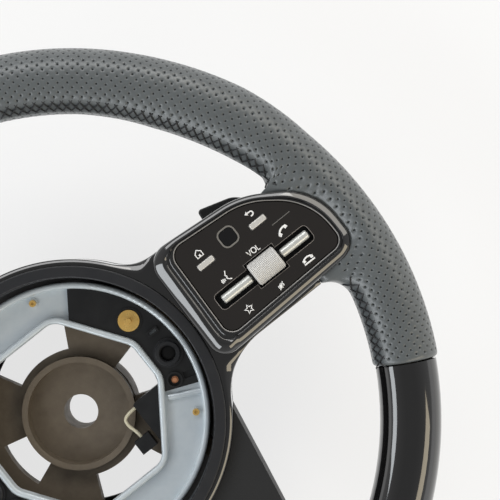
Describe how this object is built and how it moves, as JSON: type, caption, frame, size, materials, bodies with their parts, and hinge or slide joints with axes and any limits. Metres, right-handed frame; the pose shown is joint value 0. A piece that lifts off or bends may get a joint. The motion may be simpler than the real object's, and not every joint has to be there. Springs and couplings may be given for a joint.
{
  "type": "car steering wheel",
  "caption": "Flat-bottomed car steering wheel with perforated leather rim, gloss switch pods, shift paddles and an open hub for the airbag module.",
  "frame": {"origin": "centre of the column bore on the boss's back face", "axes": "+Z along the column axis towards the driver, +X to three o'clock, +Y to twelve o'clock; millimetre source, wheel lying face up"},
  "size_m": [0.371, 0.3578, 0.0823],
  "materials": {
    "cast_alloy": "as-cast magnesium alloy, faint tan conversion coat",
    "foam": "moulded polyurethane foam",
    "grip_leather": "perforated smooth leather",
    "top_leather": "smooth leather",
    "gloss_black": "piano black",
    "matt_black": "fine grained",
    "soft_black": "soft-touch",
    "carrier_metal": "pressed, bright",
    "insert_black": "glass-filled nylon",
    "contact_gold": "yellow passivated",
    "bush_grey": "acetal",
    "copper_pin": "copper coated",
    "dark_screw": "black zinc",
    "lead_cream": "lead insulation",
    "panel_black": "smoked gloss",
    "board_green": "solder mask",
    "satin_silver": "satin galvanised",
    "pad_black": "gloss",
    "roller_metal": "knurled satin",
    "paddle_gloss": "dark gloss"
  },
  "bodies": {
    "wheel": {"armature": "cast_alloy", "armature_rim": "cast_alloy", "armature_spoke_right": "cast_alloy", "armature_spoke_left": "cast_alloy", "armature_leg_right": "cast_alloy", "armature_leg_left": "cast_alloy", "rim_foam": "foam", "grip_leather_right": "grip_leather", "grip_leather_left": "grip_leather", "top_leather": "top_leather", "lower_rim_cover_front": "gloss_black", "lower_rim_cover_rear": "gloss_black", "front_trim": "gloss_black", "lower_spoke_cover": "matt_black", "rear_cover": "matt_black", "airbag_surround": "soft_black", "airbag_carrier": "carrier_metal", "contact_insert_right": "insert_black", "contact_insert_left": "insert_black", "horn_contacts": "contact_gold", "guide_bushes": "bush_grey", "terminal_pins": "copper_pin", "carrier_screws": "contact_gold", "rear_cover_screws": "dark_screw", "control_module": "insert_black", "module_lead": "lead_cream", "lead_socket": "insert_black", "bezel_right": "gloss_black", "bezel_left": "gloss_black", "control_panel_right": "panel_black", "control_panel_left": "panel_black", "switch_housing_right": "insert_black", "switch_housing_left": "insert_black", "switch_board_right": "board_green", "switch_board_left": "board_green", "trackpad_rings": "satin_silver", "roller_axles": "dark_screw", "paddle_bracket_right": "matt_black", "paddle_bracket_left": "matt_black", "paddle_pins": "dark_screw"},
    "home_button_right_body": {"home_button_right": "satin_silver"},
    "back_button_right_body": {"back_button_right": "satin_silver"},
    "trackpad_right_body": {"trackpad_right": "pad_black"},
    "volume_roller_right_body": {"volume_roller_right": "roller_metal"},
    "inner_bar_right_body": {"inner_bar_right": "satin_silver"},
    "outer_bar_right_body": {"outer_bar_right": "satin_silver"},
    "paddle_right_body": {"paddle_right": "paddle_gloss"},
    "home_button_left_body": {"home_button_left": "satin_silver"},
    "back_button_left_body": {"back_button_left": "satin_silver"},
    "trackpad_left_body": {"trackpad_left": "pad_black"},
    "volume_roller_left_body": {"volume_roller_left": "roller_metal"},
    "inner_bar_left_body": {"inner_bar_left": "satin_silver"},
    "outer_bar_left_body": {"outer_bar_left": "satin_silver"},
    "paddle_left_body": {"paddle_left": "paddle_gloss"}
  },
  "joints": [
    {"name": "home_button_right_press", "type": "slide", "parent": "wheel", "child": "home_button_right_body", "axis": [0, 0, -1], "range_m": [0, 0.0008], "stiffness_N_per_m": 2500},
    {"name": "back_button_right_press", "type": "slide", "parent": "wheel", "child": "back_button_right_body", "axis": [0, 0, -1], "range_m": [0, 0.0008], "stiffness_N_per_m": 2500},
    {"name": "trackpad_right_press", "type": "slide", "parent": "wheel", "child": "trackpad_right_body", "axis": [0, 0, -1], "range_m": [0, 0.0004], "stiffness_N_per_m": 2500},
    {"name": "volume_roller_right_spin", "type": "hinge", "parent": "wheel", "child": "volume_roller_right_body", "pos_m": [0.1237, 0, 0.072], "axis": [1, 0, 0], "continuous": true},
    {"name": "inner_bar_right_rock", "type": "hinge", "parent": "wheel", "child": "inner_bar_right_body", "pos_m": [0.106, 0, 0.067], "axis": [1, 0, 0], "range_deg": [-6, 6], "stiffness_Nm_per_rad": 0.4},
    {"name": "outer_bar_right_rock", "type": "hinge", "parent": "wheel", "child": "outer_bar_right_body", "pos_m": [0.141, 0, 0.067], "axis": [1, 0, 0], "range_deg": [-6, 6], "stiffness_Nm_per_rad": 0.4},
    {"name": "paddle_right_pull", "type": "hinge", "parent": "wheel", "child": "paddle_right_body", "pos_m": [0.087, 0.007, 0.026], "axis": [0, -1, 0], "range_deg": [0, 5], "stiffness_Nm_per_rad": 2, "springref_deg": -2.86},
    {"name": "home_button_left_press", "type": "slide", "parent": "wheel", "child": "home_button_left_body", "axis": [0, 0, -1], "range_m": [0, 0.0008], "stiffness_N_per_m": 2500},
    {"name": "back_button_left_press", "type": "slide", "parent": "wheel", "child": "back_button_left_body", "axis": [0, 0, -1], "range_m": [0, 0.0008], "stiffness_N_per_m": 2500},
    {"name": "trackpad_left_press", "type": "slide", "parent": "wheel", "child": "trackpad_left_body", "axis": [0, 0, -1], "range_m": [0, 0.0004], "stiffness_N_per_m": 2500},
    {"name": "volume_roller_left_spin", "type": "hinge", "parent": "wheel", "child": "volume_roller_left_body", "pos_m": [-0.1237, 0, 0.072], "axis": [1, 0, 0], "continuous": true},
    {"name": "inner_bar_left_rock", "type": "hinge", "parent": "wheel", "child": "inner_bar_left_body", "pos_m": [-0.106, 0, 0.067], "axis": [1, 0, 0], "range_deg": [-6, 6], "stiffness_Nm_per_rad": 0.4},
    {"name": "outer_bar_left_rock", "type": "hinge", "parent": "wheel", "child": "outer_bar_left_body", "pos_m": [-0.141, 0, 0.067], "axis": [1, 0, 0], "range_deg": [-6, 6], "stiffness_Nm_per_rad": 0.4},
    {"name": "paddle_left_pull", "type": "hinge", "parent": "wheel", "child": "paddle_left_body", "pos_m": [-0.087, 0.007, 0.026], "axis": [0, 1, 0], "range_deg": [0, 5], "stiffness_Nm_per_rad": 2, "springref_deg": -2.86}
  ]
}
